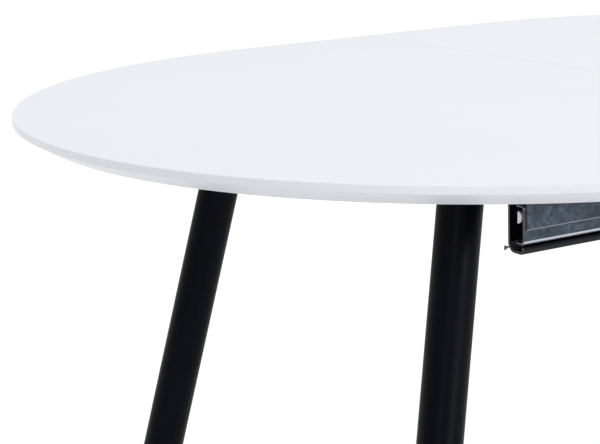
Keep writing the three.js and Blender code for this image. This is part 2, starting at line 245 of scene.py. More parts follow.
def outward(name, bm):
    """The mesh of a finished bmesh, with its faces turned outwards."""
    bmesh.ops.recalc_face_normals(bm, faces=bm.faces)
    mesh = bpy.data.meshes.new(name)
    bm.to_mesh(mesh)
    bm.free()
    return mesh


def prism(name, outline, x0, x1):
    """A mesh with the outline in Y and Z, run along X, with its folds marked."""
    bm = bmesh.new()
    fold = bm.verts.layers.float.new("fold")
    rings = []
    for x in (x0, x1):
        ring = []
        for a, b, *bend in outline:
            vert = bm.verts.new((x, a, b))
            vert[fold] = bend[0] if bend else 0.0
            ring.append(vert)
        rings.append(ring)
    count = len(outline)
    for i in range(count):
        j = (i + 1) % count
        bm.faces.new((rings[0][i], rings[0][j], rings[1][j], rings[1][i]))
    bm.faces.new(rings[0])
    bm.faces.new(rings[1])
    return outward(name, bm)


def finished(name, mesh, edge=0.0, segments=2):
    """The mesh with its sharp edges rounded by a live bevel, made plain again."""
    thing = bpy.data.objects.new(name, mesh)
    bpy.context.collection.objects.link(thing)
    if edge:
        bevel = thing.modifiers.new("rounded edges", "BEVEL")
        bevel.width = edge
        bevel.segments = segments
        bevel.limit_method = "ANGLE"
        bevel.angle_limit = SMOOTH_BELOW
        bevel.use_clamp_overlap = True
    graph = bpy.context.evaluated_depsgraph_get()
    plain = bpy.data.meshes.new_from_object(thing.evaluated_get(graph))
    bpy.data.objects.remove(thing)
    plain.name = name
    plain.shade_smooth()
    plain.set_sharp_from_angle(angle=SMOOTH_BELOW)
    return plain


def put(name, mesh, body, materials, replaced=()):
    """Links a finished piece, and says what it rides on and stands for. A mesh that
    a tree has made already has its material."""
    piece = bpy.data.objects.new(name, mesh)
    bpy.context.collection.objects.link(piece)
    if not mesh.materials:
        for material in materials:
            mesh.materials.append(material)
    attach(piece, body)
    if replaced:
        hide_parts(*replaced)
    return piece


def mark_ends(mesh, reach):
    """Gives the faces at the far ends, which look along X, the second material."""
    for polygon in mesh.polygons:
        if abs(polygon.normal.x) > FACING and abs(polygon.center.x) > reach - END_DEPTH:
            polygon.material_index = 1


# Polyester powder coat, satin black: fine orange peel, and a sheen that varies a
# little where the coat is thicker. The peel is drawn coarse enough to show.
black_coat, tree, shader = new_material("black powder coat", "#08090b", 0.40)
shader.inputs["IOR"].default_value = 1.5
shader.inputs["Specular IOR Level"].default_value = 0.05
place = add(tree, "ShaderNodeTexCoord").outputs["Object"]
cloud = add(tree, "ShaderNodeTexNoise", {"Vector": place, "Scale": 9.0, "Detail": 3.0})
sheen = add(tree, "ShaderNodeMapRange", {
    "Value": cloud.outputs["Fac"], "From Min": 0.3, "From Max": 0.7, "To Min": 0.33, "To Max": 0.46,
})
tree.links.new(sheen.outputs["Result"], shader.inputs["Roughness"])
tone = add(tree, "ShaderNodeMix", {"Factor": cloud.outputs["Fac"]}, data_type="RGBA")
tone.inputs["A"].default_value = rgb("#07080d")
tone.inputs["B"].default_value = rgb("#0b0c15")
# Painted highlight: the folds of bent sheet are painted a lighter grey.
fold = add(tree, "ShaderNodeAttribute", attribute_name="fold")
coat_fold_highlight = add(tree, "ShaderNodeMix", {
    "Factor": fold.outputs["Fac"], "A": tone.outputs["Result"],
}, data_type="RGBA")
coat_fold_highlight.inputs["B"].default_value = rgb("#2c2d31")
tree.links.new(coat_fold_highlight.outputs["Result"], shader.inputs["Base Color"])
peel = add(tree, "ShaderNodeTexNoise", {"Vector": place, "Scale": 1000 / PEEL_SIZE_MM, "Detail": 1.0})
peel_bump = add(tree, "ShaderNodeBump", {
    "Height": peel.outputs["Fac"], "Strength": 0.12, "Distance": 0.15 * MM,
})
tree.links.new(peel_bump.outputs["Normal"], shader.inputs["Normal"])

# Sheared edge of the sheet, left bare: dull brown-grey steel, with painted shade at the folds.
sheared, tree, shader = new_material("sheared steel edge", "#605f60", 0.6, 0.2)
place = add(tree, "ShaderNodeTexCoord").outputs["Object"]
torn = add(tree, "ShaderNodeTexNoise", {"Vector": place, "Scale": 900.0, "Detail": 2.0})
tone = add(tree, "ShaderNodeMix", {"Factor": torn.outputs["Fac"]}, data_type="RGBA")
tone.inputs["A"].default_value = rgb("#504f52")
tone.inputs["B"].default_value = rgb("#656468")
fold = add(tree, "ShaderNodeAttribute", attribute_name="fold")
edge_fold_shade = add(tree, "ShaderNodeMix", {
    "Factor": fold.outputs["Fac"], "A": tone.outputs["Result"],
}, data_type="RGBA")
edge_fold_shade.inputs["B"].default_value = rgb("#29292c")
tree.links.new(edge_fold_shade.outputs["Result"], shader.inputs["Base Color"])

channel_lo, channel_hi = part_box("centre_channel_back")
half_sheet = CHANNEL_SHEET / 2
channel_line = [
    (channel_lo.y + half_sheet, channel_hi.z),
    (channel_lo.y + half_sheet, channel_lo.z + half_sheet),
    (channel_hi.y - half_sheet, channel_lo.z + half_sheet),
    (channel_hi.y - half_sheet, channel_lo.z + CHANNEL_LIP),
]
for side, sy in SIDES.items():
    node = f"centre_channel_{side}"
    # The channels' folds take the full level of painted light: a painted highlight in the coat, and
    # painted shade on the cut ends.
    outline = bent_sheet([(sy * y, z) for y, z in channel_line], CHANNEL_BENDS, CHANNEL_SHEET)
    mesh = finished(node, prism(node, outline, channel_lo.x, channel_hi.x), CUT_EDGE)
    mark_ends(mesh, channel_hi.x)
    put(f"{side}_channel", mesh, "centre_frame", [black_coat, sheared], [node])


# ---- Cross bars: two rectangular steel tubes welded between the channels, painted
# with them. The leaf lies on them.
BAR_WALL = 2 * MM
BAR_CORNER = 3 * MM
GROWN_SMOOTH_BELOW = math.radians(50)


def rounded_box(a0, a1, b0, b1, radius, steps=6):
    """A rectangle's outline with round corners, anticlockwise, as (a, b) points."""
    points = []
    centres = ((a1 - radius, b1 - radius), (a0 + radius, b1 - radius))
    centres += ((a0 + radius, b0 + radius), (a1 - radius, b0 + radius))
    for corner, (a, b) in enumerate(centres):
        for k in range(steps + 1):
            angle = (corner + k / steps) * math.pi / 2
            points.append((a + radius * math.cos(angle), b + radius * math.sin(angle)))
    return points


def tube_between(name, outer, inner, place):
    """A tube's mesh: rings of the outer and inner outlines at both ends. place
    turns (a, b, end) into a point, with end 0 or 1."""
    bm = bmesh.new()
    rings = []
    for outline, end in ((outer, 0), (outer, 1), (inner, 1), (inner, 0)):
        rings.append([bm.verts.new(place(a, b, end)) for a, b in outline])
    count = len(outer)
    for r in range(4):
        here, there = rings[r], rings[(r + 1) % 4]
        for i in range(count):
            j = (i + 1) % count
            bm.faces.new((here[i], here[j], there[j], there[i]))
    return outward(name, bm)


# A weld bead: overlapping round beads along a path, each a little different.
bead_tree = bpy.data.node_groups.new("weld bead", "GeometryNodeTree")
face = bead_tree.interface
face.new_socket("Geometry", in_out="INPUT", socket_type="NodeSocketGeometry")
for label, kind, value in (
    ("Bead radius", "NodeSocketFloat", 1.6 * MM),
    ("Step", "NodeSocketFloat", 1.4 * MM),
    ("Seed", "NodeSocketInt", 3),
    ("Finish", "NodeSocketMaterial", None),
):
    item = face.new_socket(label, in_out="INPUT", socket_type=kind)
    if value is not None:
        item.default_value = value
face.new_socket("Geometry", in_out="OUTPUT", socket_type="NodeSocketGeometry")
given = add(bead_tree, "NodeGroupInput").outputs
path = add(bead_tree, "GeometryNodeMeshToCurve", {"Mesh": given["Geometry"]})
dots = add(bead_tree, "GeometryNodeCurveToPoints", {
    "Curve": path.outputs["Curve"], "Length": given["Step"],
}, mode="LENGTH")
bead = add(bead_tree, "GeometryNodeMeshIcoSphere", {"Radius": given["Bead radius"], "Subdivisions": 2})
spread = add(bead_tree, "FunctionNodeRandomValue", {
    2: 0.85, 3: 1.15, "Seed": given["Seed"],
}, data_type="FLOAT")
laid = add(bead_tree, "GeometryNodeInstanceOnPoints", {
    "Points": dots.outputs["Points"], "Instance": bead.outputs["Mesh"], "Scale": spread.outputs[1],
})
solid = add(bead_tree, "GeometryNodeRealizeInstances", {"Geometry": laid.outputs["Instances"]})
coated = add(bead_tree, "GeometryNodeSetMaterial", {
    "Geometry": solid.outputs["Geometry"], "Material": given["Finish"],
})
add(bead_tree, "NodeGroupOutput", {"Geometry": coated.outputs["Geometry"]})


def grown(name, mesh, tree_group, values):
    """The plain mesh that a Geometry Nodes tree makes from a mesh."""
    thing = bpy.data.objects.new(name, mesh)
    bpy.context.collection.objects.link(thing)
    modifier = thing.modifiers.new(name, "NODES")
    modifier.node_group = tree_group
    for item in tree_group.interface.items_tree:
        if item.in_out == "INPUT" and item.name in values:
            modifier[item.identifier] = values[item.name]
    graph = bpy.context.evaluated_depsgraph_get()
    plain = bpy.data.meshes.new_from_object(thing.evaluated_get(graph))
    bpy.data.objects.remove(thing)
    plain.name = name
    plain.shade_smooth()
    plain.set_sharp_from_angle(angle=GROWN_SMOOTH_BELOW)
    return plain


def loops(name, paths):
    """A mesh of closed paths of edges, for a tree that follows them."""
    points, edges = [], []
    for path_points in paths:
        first, count = len(points), len(path_points)
        points += path_points
        edges += [(first + i, first + (i + 1) % count) for i in range(count)]
    mesh = bpy.data.meshes.new(name)
    mesh.from_pydata(points, edges, [])
    return mesh


bar_welds = []
for end in ENDS:
    node = f"cross_bar_{end}"
    lo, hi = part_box(node)
    outer = rounded_box(lo.x, hi.x, lo.z, hi.z, BAR_CORNER)
    x0, x1, z0, z1 = lo.x + BAR_WALL, hi.x - BAR_WALL, lo.z + BAR_WALL, hi.z - BAR_WALL
    inner = rounded_box(x0, x1, z0, z1, BAR_CORNER - BAR_WALL)
    mesh = tube_between(node, outer, inner, lambda a, b, e: (a, (lo.y, hi.y)[e], b))
    mesh = finished(node, mesh)
    put(f"{end}_cross_bar", mesh, "centre_frame", [black_coat], [node])
    for sy in SIDES.values():
        bar_welds.append([(a, sy * hi.y, b) for a, b in outer])
mesh = grown("bar_welds", loops("bar_welds", bar_welds), bead_tree, {"Finish": black_coat})
put("cross_bar_welds", mesh, "centre_frame", [black_coat])


# ---- Corner tabs: small three-cornered pieces of bare sheet welded to the low
# corner of each channel end.
TAB_EDGE = 0.25 * MM

for side, end in PLACES:
    sy = SIDES[side]
    node = f"corner_tab_{side}_{end}"
    lo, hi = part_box(node)
    near, far = sorted((lo.y, hi.y), key=abs)
    outline = [(near, lo.z), (near, hi.z), (far, hi.z)]
    mesh = finished(node, prism(node, outline, lo.x, hi.x), TAB_EDGE)
    put(f"tab_{side}_{end}", mesh, "centre_frame", [sheared], [node])


# ---- Rollers: white nylon wheels with a dished web, two on each channel, that the
# rails' upper flanges run on.
WHEEL_STEPS = 72
WHEEL_BORE = 4.1 * MM
WHEEL_ROUND = 1.0 * MM
WHEEL_DISH = 0.9 * MM
HUB_RADIUS = 7 * MM
HUB_FOOT_RADIUS = 7.8 * MM
TYRE_FOOT = 3 * MM
TYRE_FACE = 2.2 * MM

# Injection-moulded nylon: milky white, faintly see-through, with a soft sheen.
nylon, tree, shader = new_material("white nylon", "#e2e3e8", 0.45)
shader.inputs["IOR"].default_value = 1.53
shader.inputs["Subsurface Weight"].default_value = 0.15
shader.inputs["Subsurface Scale"].default_value = 2 * MM
place = add(tree, "ShaderNodeTexCoord").outputs["Object"]
cloud = add(tree, "ShaderNodeTexNoise", {"Vector": place, "Scale": 160.0, "Detail": 2.0})
tone = add(tree, "ShaderNodeMix", {"Factor": cloud.outputs["Fac"]}, data_type="RGBA")
tone.inputs["A"].default_value = rgb("#d9dae0")
tone.inputs["B"].default_value = rgb("#e9eaee")
tree.links.new(tone.outputs["Result"], shader.inputs["Base Color"])
rub = add(tree, "ShaderNodeBump", {
    "Height": cloud.outputs["Fac"], "Strength": 0.06, "Distance": 0.2 * MM,
})
tree.links.new(rub.outputs["Normal"], shader.inputs["Normal"])


def turned_mesh(name, profile, centre, axis, steps=WHEEL_STEPS):
    """A turned shape: (radius, along) points turned about the axis. A profile that
    starts and ends on the axis, or closes on itself, gives a closed shape."""
    axis = Vector(axis).normalized()
    side_a = axis.orthogonal().normalized()
    side_b = axis.cross(side_a)
    bm = bmesh.new()
    rings = []
    for radius, along in profile:
        mid = Vector(centre) + axis * along
        if radius < 1e-9:
            rings.append([bm.verts.new(mid)])
            continue
        angles = [2 * math.pi * k / steps for k in range(steps)]
        spin = [side_a * math.cos(t) + side_b * math.sin(t) for t in angles]
        rings.append([bm.verts.new(mid + radius * s) for s in spin])
    closed = len(rings[0]) > 1
    pairs = list(zip(rings, rings[1:] + rings[:1])) if closed else list(zip(rings, rings[1:]))
    for here, there in pairs:
        for k in range(steps):
            n = (k + 1) % steps
            if len(here) == 1:
                bm.faces.new((here[0], there[n], there[k]))
            elif len(there) == 1:
                bm.faces.new((here[k], here[n], there[0]))
            else:
                bm.faces.new((here[k], here[n], there[n], there[k]))
    return outward(name, bm)


def joined(name, meshes):
    """One mesh of several."""
    bm = bmesh.new()
    for mesh in meshes:
        bm.from_mesh(mesh)
    mesh = bpy.data.meshes.new(name)
    bm.to_mesh(mesh)
    bm.free()
    return mesh


for side, end in PLACES:
    wheel = f"roller_{side}_{end}"
    lo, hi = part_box(wheel)
    middle = (lo + hi) / 2
    radius = (hi.z - lo.z) / 2
    half = (hi.y - lo.y) / 2
    web = half - WHEEL_DISH
    tread = [
        (radius - WHEEL_ROUND * (1 - math.sin(t)), half - WHEEL_ROUND * (1 - math.cos(t)))
        for t in (math.pi / 2 * k / 4 for k in range(5))
    ]
    outside = [(WHEEL_BORE, half), (HUB_RADIUS, half), (HUB_FOOT_RADIUS, web)]
    outside += [(radius - TYRE_FOOT, web), (radius - TYRE_FACE, half)] + tread
    profile = outside + [(r, -y) for r, y in reversed(outside)]
    mesh = finished(wheel, turned_mesh(wheel, profile, middle, (0, 1, 0)))
    put(f"wheel_{side}_{end}", mesh, wheel, [nylon], [wheel])


# ---- Axles and shoe pins: plated pins headed on the channels' inner faces. A clip
# by the axle's tip keeps the wheel on.
SHANKS = {"axle": 4 * MM, "shoe_pin": 3 * MM}
PIN_HEAD = ((0.62, 0.0), (0.9, 0.8 * MM), (1.0, 1.6 * MM))
PIN_HEAD_GAP = 0.3 * MM
PIN_CHAMFER = 0.4 * MM
PIN_STEPS = 40
CLIP_FROM_TIP = 0.9 * MM
CLIP_WIDTH = 0.7 * MM
CLIP_EDGE = ((6.8 * MM, 0.0), (7 * MM, 0.2 * MM), (6.6 * MM, 0.5 * MM))

# Zinc-plated mild steel: a cool grey metal with fine drawn streaks.
plated, tree, shader = new_material("zinc-plated steel", "#a5a9ae", 0.34, 1.0)
place = add(tree, "ShaderNodeTexCoord").outputs["Object"]
drawn = add(tree, "ShaderNodeMapping", {"Vector": place, "Scale": (60.0, 420.0, 420.0)})
streak = add(tree, "ShaderNodeTexNoise", {"Vector": drawn.outputs["Vector"], "Scale": 1.0, "Detail": 3.0})
tone = add(tree, "ShaderNodeMix", {"Factor": streak.outputs["Fac"]}, data_type="RGBA")
tone.inputs["A"].default_value = rgb("#8b9096")
tone.inputs["B"].default_value = rgb("#b9bcc0")
tree.links.new(tone.outputs["Result"], shader.inputs["Base Color"])
polish = add(tree, "ShaderNodeMapRange", {
    "Value": streak.outputs["Fac"], "From Min": 0.3, "From Max": 0.7, "To Min": 0.26, "To Max": 0.44,
})
tree.links.new(polish.outputs["Result"], shader.inputs["Roughness"])
scratch = add(tree, "ShaderNodeBump", {
    "Height": streak.outputs["Fac"], "Strength": 0.08, "Distance": 0.1 * MM,
})
tree.links.new(scratch.outputs["Normal"], shader.inputs["Normal"])

for side, end in PLACES:
    sy = SIDES[side]
    for kind, shank in SHANKS.items():
        node = f"{kind}_{side}_{end}"
        lo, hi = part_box(node)
        inner, tip = sorted((abs(lo.y), abs(hi.y)))
        head_end = channel_lo.y - PIN_HEAD_GAP
        head_radius = (hi.z - lo.z) / 2
        pin = [(0, inner)]
        pin += [(head_radius * share, inner + depth) for share, depth in PIN_HEAD]
        pin += [(head_radius, head_end), (shank, head_end), (shank, tip - PIN_CHAMFER)]
        pin += [(shank - PIN_CHAMFER, tip), (0, tip)]
        shapes = [pin]
        if kind == "axle":
            at = tip - CLIP_FROM_TIP
            edge = [(r, at + along) for r, along in CLIP_EDGE]
            shapes.append([(shank, at)] + edge + [(shank, at + CLIP_WIDTH)])
        centre = ((lo.x + hi.x) / 2, 0, (lo.z + hi.z) / 2)
        turned = [turned_mesh(node, shape, centre, (0, sy, 0), PIN_STEPS) for shape in shapes]
        mesh = finished(node, joined(node, turned))
        put(f"{kind}_turned_{side}_{end}", mesh, "centre_frame", [plated], [node])


# ---- Slide shoes: half-round nylon blocks pinned to the channels near their ends,
# each with a thin neck and a half-round flange that faces the rail's open end.
SHOE_EDGE = 0.4 * MM
SHOE_STEPS = 28
SHOE_NOSE_Z = 691.2 * MM
SHOE_NOSE_RADIUS = 5.8 * MM
SHOE_NOSE_STEP = 0.8 * MM
SHOE_NOSE_LENGTH = 1.8 * MM
SHOE_NECK_RADIUS = 2.6 * MM
SHOE_NECK_LENGTH = 5.6 * MM
SHOE_NECK_ROOTS = (0.5 * MM, 0.4 * MM)


def half_round(sy, flat, z, bulge, half_height):
    """A section that is flat inboard and half-round towards the rail."""
    turns = [(k / SHOE_STEPS - 0.5) * math.pi for k in range(SHOE_STEPS + 1)]
    return [(sy * (flat + bulge * math.cos(t)), z + half_height * math.sin(t)) for t in turns]


for side, end in PLACES:
    sy, sx = SIDES[side], ENDS[end]
    node = f"slide_shoe_{side}_{end}"
    lo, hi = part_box(node)
    flat, crown = sorted((abs(lo.y), abs(hi.y)))
    back, far = sorted((abs(lo.x), abs(hi.x)))
    flange_x = far - SHOE_NOSE_LENGTH
    neck_x = flange_x - SHOE_NECK_LENGTH
    body = half_round(sy, flat, (lo.z + hi.z) / 2, crown - flat, (hi.z - lo.z) / 2)
    shapes = [prism(node, body, *sorted((sx * back, sx * neck_x)))]
    neck = (SHOE_NECK_RADIUS, neck_x - SHOE_NECK_ROOTS[0], flange_x + SHOE_NECK_ROOTS[1])
    for r, x0, x1 in (neck, (SHOE_NOSE_RADIUS, flange_x, far)):
        nose = half_round(sy, flat + SHOE_NOSE_STEP, SHOE_NOSE_Z, r, r)
        shapes.append(prism(node, nose, *sorted((sx * x0, sx * x1))))
    mesh = finished(node, joined(node, shapes), SHOE_EDGE, 3)
    put(f"shoe_{side}_{end}", mesh, "centre_frame", [nylon], [node])


# ---- Slide rails: C sections rolled from 2 mm galvanised strip, open towards the
# channels. They ride on the rollers and shoes; a tab bent in at the inner end is the stop.
RAIL_SHEET = 2 * MM
RAIL_BEND = 2.5 * MM
# Painted highlight on the rail's folds: little on the upper fold, in the top's shade, and full on the
# lower fold, which catches the floor's reflection; painted shade on the cut ends there.
RAIL_FOLD_LIGHT = (0.1, 1.0)
STOP_FROM_END = (8 * MM, 10 * MM)
STOP_FROM_WEB = (9.3 * MM, 1.5 * MM)
STOP_HALF_HEIGHT = 9 * MM
STOP_CORNER = 1.5 * MM
SPANGLE_MM = 7
CRYSTAL_MM = 3.2

# Galvanised steel strip: blue-grey zinc with a mottled spangle of dull crystals.
# The folds, and the angles' lower edges, are painted lighter: a painted highlight, strong where they
# catch the floor's reflection and weak in the top's shade.
zinc, tree, shader = new_material("galvanised steel strip", "#6a7580", 0.42, 1.0)
place = add(tree, "ShaderNodeTexCoord").outputs["Object"]
bend_noise = add(tree, "ShaderNodeTexNoise", {"Vector": place, "Scale": 120.0, "Detail": 2.0})
bent = add(tree, "ShaderNodeVectorMath", {
    0: bend_noise.outputs["Color"], "Scale": 5 * MM,
}, operation="SCALE")
warped = add(tree, "ShaderNodeVectorMath", {0: place, 1: bent.outputs["Vector"]}, operation="ADD")
spangle = add(tree, "ShaderNodeTexVoronoi", {
    "Vector": warped.outputs["Vector"], "Scale": 1000 / SPANGLE_MM,
})
crystal = add(tree, "ShaderNodeTexVoronoi", {
    "Vector": warped.outputs["Vector"], "Scale": 1000 / CRYSTAL_MM,
})
flake = add(tree, "ShaderNodeSeparateColor", {"Color": spangle.outputs["Color"]})
grain = add(tree, "ShaderNodeSeparateColor", {"Color": crystal.outputs["Color"]})
mottle = add(tree, "ShaderNodeMath", {
    0: flake.outputs["Red"], 1: grain.outputs["Green"],
}, operation="MULTIPLY")
soften = add(tree, "ShaderNodeTexNoise", {"Vector": place, "Scale": 70.0, "Detail": 4.0})
mixed = add(tree, "ShaderNodeMath", {
    0: mottle.outputs["Value"], 1: soften.outputs["Fac"],
}, operation="ADD")
ramp = add(tree, "ShaderNodeMapRange", {
    "Value": mixed.outputs["Value"], "From Min": 0.35, "From Max": 1.2, "To Min": 0.0, "To Max": 1.0,
})
tone = add(tree, "ShaderNodeMix", {"Factor": ramp.outputs["Result"]}, data_type="RGBA")
tone.inputs["A"].default_value = rgb("#343a42")
tone.inputs["B"].default_value = rgb("#485059")
# Painted highlight: the folds and rims are painted towards a light grey.
fold = add(tree, "ShaderNodeAttribute", attribute_name="fold")
zinc_fold_highlight = add(tree, "ShaderNodeMix", {
    "Factor": fold.outputs["Fac"], "A": tone.outputs["Result"],
}, data_type="RGBA")
zinc_fold_highlight.inputs["B"].default_value = rgb("#c6ccd2")
tree.links.new(zinc_fold_highlight.outputs["Result"], shader.inputs["Base Color"])
dull = add(tree, "ShaderNodeMapRange", {
    "Value": flake.outputs["Green"], "To Min": 0.36, "To Max": 0.52,
})
tree.links.new(dull.outputs["Result"], shader.inputs["Roughness"])
relief = add(tree, "ShaderNodeBump", {
    "Height": ramp.outputs["Result"], "Strength": 0.10, "Distance": 0.12 * MM,
})
tree.links.new(relief.outputs["Normal"], shader.inputs["Normal"])

for side, end in PLACES:
    sy, sx = SIDES[side], ENDS[end]
    node = f"slide_rail_{side}_{end}"
    lo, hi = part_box(node)
    tip, web = sorted((lo.y, hi.y), key=abs)
    skin = RAIL_SHEET / 2
    line = [
        (tip, hi.z - skin), (web - sy * skin, hi.z - skin),
        (web - sy * skin, lo.z + skin), (tip, lo.z + skin),
    ]
    outline = bent_sheet(line, (RAIL_BEND,), RAIL_SHEET, fold_lights=RAIL_FOLD_LIGHT)
    strip = prism(node, outline, lo.x, hi.x)
    inner_end = min(abs(lo.x), abs(hi.x))
    stop_x = sorted(sx * (inner_end + depth) for depth in STOP_FROM_END)
    stop_y = sorted(web - sy * depth for depth in STOP_FROM_WEB)
    stop_z = [(lo.z + hi.z) / 2 + s * STOP_HALF_HEIGHT for s in (-1, 1)]
    stop = rounded_box(*stop_y, *stop_z, STOP_CORNER)
    mesh = joined(node, [strip, prism(node, stop, *stop_x)])
    mesh = finished(node, mesh, CUT_EDGE)
    mark_ends(mesh, max(abs(lo.x), abs(hi.x)))
    put(f"rail_{side}_{end}", mesh, f"{end}_half", [zinc, sheared], [node])


# ---- Mounting angles: galvanised angles welded to the rails' faces and screwed up
# into the top. The screws are zinc-plated.
ANGLE_SHEET = 2 * MM
ANGLE_BEND = 2.5 * MM
# Painted highlight on the angle's lower edge, and a weaker one on its fold in the top's shade; painted
# shade on its cut ends there.
ANGLE_RIM_LIGHT = 0.35
ANGLE_FOLD_LIGHT = (0.2,)
ANGLE_SCREWS_X_MM = (45, 145, 245, 345, 415)
ANGLE_SCREWS_OUT = 18 * MM
HEAD_CUTTER = (40 * MM, 40 * MM, 20 * MM)
HEAD_CUTTER_Z = -10.1 * MM
SOCKET_LENGTH = 4 * MM
SOCKET_ABOVE = 0.8 * MM

# A domed head with a flat underside and a hexagon socket, on every point.
head_tree = bpy.data.node_groups.new("domed heads", "GeometryNodeTree")
face = head_tree.interface
face.new_socket("Geometry", in_out="INPUT", socket_type="NodeSocketGeometry")
for label, kind, value in (
    ("Head radius", "NodeSocketFloat", 4.2 * MM),
    ("Head height", "NodeSocketFloat", 2.2 * MM),
    ("Socket radius", "NodeSocketFloat", 1.7 * MM),
    ("Finish", "NodeSocketMaterial", None),
):
    item = face.new_socket(label, in_out="INPUT", socket_type=kind)
    if value is not None:
        item.default_value = value
face.new_socket("Geometry", in_out="OUTPUT", socket_type="NodeSocketGeometry")
given = add(head_tree, "NodeGroupInput").outputs
ball = add(head_tree, "GeometryNodeMeshUVSphere", {
    "Segments": 24, "Rings": 12, "Radius": given["Head radius"],
})
flatten = add(head_tree, "ShaderNodeMath", {
    0: given["Head height"], 1: given["Head radius"],
}, operation="DIVIDE")
scale = add(head_tree, "ShaderNodeCombineXYZ", {"X": 1.0, "Y": 1.0, "Z": flatten.outputs["Value"]})
dome = add(head_tree, "GeometryNodeTransform", {
    "Geometry": ball.outputs["Mesh"], "Scale": scale.outputs["Vector"],
})
block = add(head_tree, "GeometryNodeMeshCube", {"Size": HEAD_CUTTER})
below = add(head_tree, "GeometryNodeTransform", {
    "Geometry": block.outputs["Mesh"], "Translation": (0, 0, HEAD_CUTTER_Z),
})
hexagon = add(head_tree, "GeometryNodeMeshCylinder", {
    "Vertices": 6, "Radius": given["Socket radius"], "Depth": SOCKET_LENGTH,
})
raise_by = add(head_tree, "ShaderNodeMath", {
    0: given["Head height"], 1: SOCKET_ABOVE,
}, operation="ADD")
lift = add(head_tree, "ShaderNodeCombineXYZ", {"Z": raise_by.outputs["Value"]})
socket = add(head_tree, "GeometryNodeTransform", {
    "Geometry": hexagon.outputs["Mesh"], "Translation": lift.outputs["Vector"],
})
cut = add(head_tree, "GeometryNodeMeshBoolean", {
    "Mesh 1": dome.outputs["Geometry"],
}, operation="DIFFERENCE")
head_tree.links.new(below.outputs["Geometry"], cut.inputs["Mesh 2"])
head_tree.links.new(socket.outputs["Geometry"], cut.inputs["Mesh 2"])
facing = add(head_tree, "GeometryNodeInputNamedAttribute", {"Name": "facing"}, data_type="FLOAT_VECTOR")
aimed = add(head_tree, "FunctionNodeAlignRotationToVector", {
    "Vector": facing.outputs["Attribute"],
}, axis="Z")
laid = add(head_tree, "GeometryNodeInstanceOnPoints", {
    "Points": given["Geometry"], "Instance": cut.outputs["Mesh"], "Rotation": aimed.outputs["Rotation"],
})
solid = add(head_tree, "GeometryNodeRealizeInstances", {"Geometry": laid.outputs["Instances"]})
coated = add(head_tree, "GeometryNodeSetMaterial", {
    "Geometry": solid.outputs["Geometry"], "Material": given["Finish"],
})
add(head_tree, "NodeGroupOutput", {"Geometry": coated.outputs["Geometry"]})


def spots(name, places):
    """A mesh of loose points, each with the way that its head faces."""
    mesh = bpy.data.meshes.new(name)
    mesh.from_pydata([at for at, _ in places], [], [])
    facing_layer = mesh.attributes.new("facing", "FLOAT_VECTOR", "POINT")
    for i, (_, way) in enumerate(places):
        facing_layer.data[i].vector = way
    return mesh


angle_heads = {end: [] for end in ENDS}
for side, end in PLACES:
    sy, sx = SIDES[side], ENDS[end]
    node = f"rail_angle_{side}_{end}"
    lo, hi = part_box(node)
    web, foot = sorted((lo.y, hi.y), key=abs)
    skin = ANGLE_SHEET / 2
    line = [(web + sy * skin, lo.z), (web + sy * skin, hi.z - skin), (foot, hi.z - skin)]
    outline = bent_sheet(line, (ANGLE_BEND,), ANGLE_SHEET, ANGLE_RIM_LIGHT, ANGLE_FOLD_LIGHT)
    mesh = finished(node, prism(node, outline, lo.x, hi.x), CUT_EDGE)
    mark_ends(mesh, max(abs(lo.x), abs(hi.x)))
    put(f"angle_{side}_{end}", mesh, f"{end}_half", [zinc, sheared], [node])
    for x in ANGLE_SCREWS_X_MM:
        spot = (sx * x * MM, web + sy * ANGLE_SCREWS_OUT, hi.z - ANGLE_SHEET)
        angle_heads[end].append((spot, (0, 0, -1)))
for end in ENDS:
    mesh = grown("angle_screws", spots("angle_screws", angle_heads[end]), head_tree, {"Finish": plated})
    put(f"angle_screws_{end}", mesh, f"{end}_half", [plated])


# ---- Top halves: 22 mm board with a straight middle and a half-round end. The edge
# is upright for 8 mm, then bevelled back under, and laminated like the face.
SIDE_HEIGHT = 8 * MM
EDGE_INSET = 25.5 * MM
ARRIS = 1.5 * MM
ARC_STEPS = 128
HOLE_RADIUS = 4.3 * MM
HOLE_DEPTH = 20.3 * MM
HOLE_STEPS = 32

# High-pressure laminate, white: even, with a fine pearl grain and a soft sheen.
laminate, tree, shader = new_material("white laminate", "#e6e7eb", 0.38)
shader.inputs["IOR"].default_value = 1.5
place = add(tree, "ShaderNodeTexCoord").outputs["Object"]
cloud = add(tree, "ShaderNodeTexNoise", {"Vector": place, "Scale": 5.0, "Detail": 4.0})
tone = add(tree, "ShaderNodeMix", {"Factor": cloud.outputs["Fac"]}, data_type="RGBA")
tone.inputs["A"].default_value = rgb("#e4e5ea")
tone.inputs["B"].default_value = rgb("#e8e9ec")
tree.links.new(tone.outputs["Result"], shader.inputs["Base Color"])
pearl = add(tree, "ShaderNodeTexNoise", {"Vector": place, "Scale": 620.0, "Detail": 2.0})
satin = add(tree, "ShaderNodeMapRange", {"Value": pearl.outputs["Fac"], "To Min": 0.33, "To Max": 0.45})
tree.links.new(satin.outputs["Result"], shader.inputs["Roughness"])
pearl_bump = add(tree, "ShaderNodeBump", {
    "Height": pearl.outputs["Fac"], "Strength": 0.05, "Distance": 0.1 * MM,
})
tree.links.new(pearl_bump.outputs["Normal"], shader.inputs["Normal"])

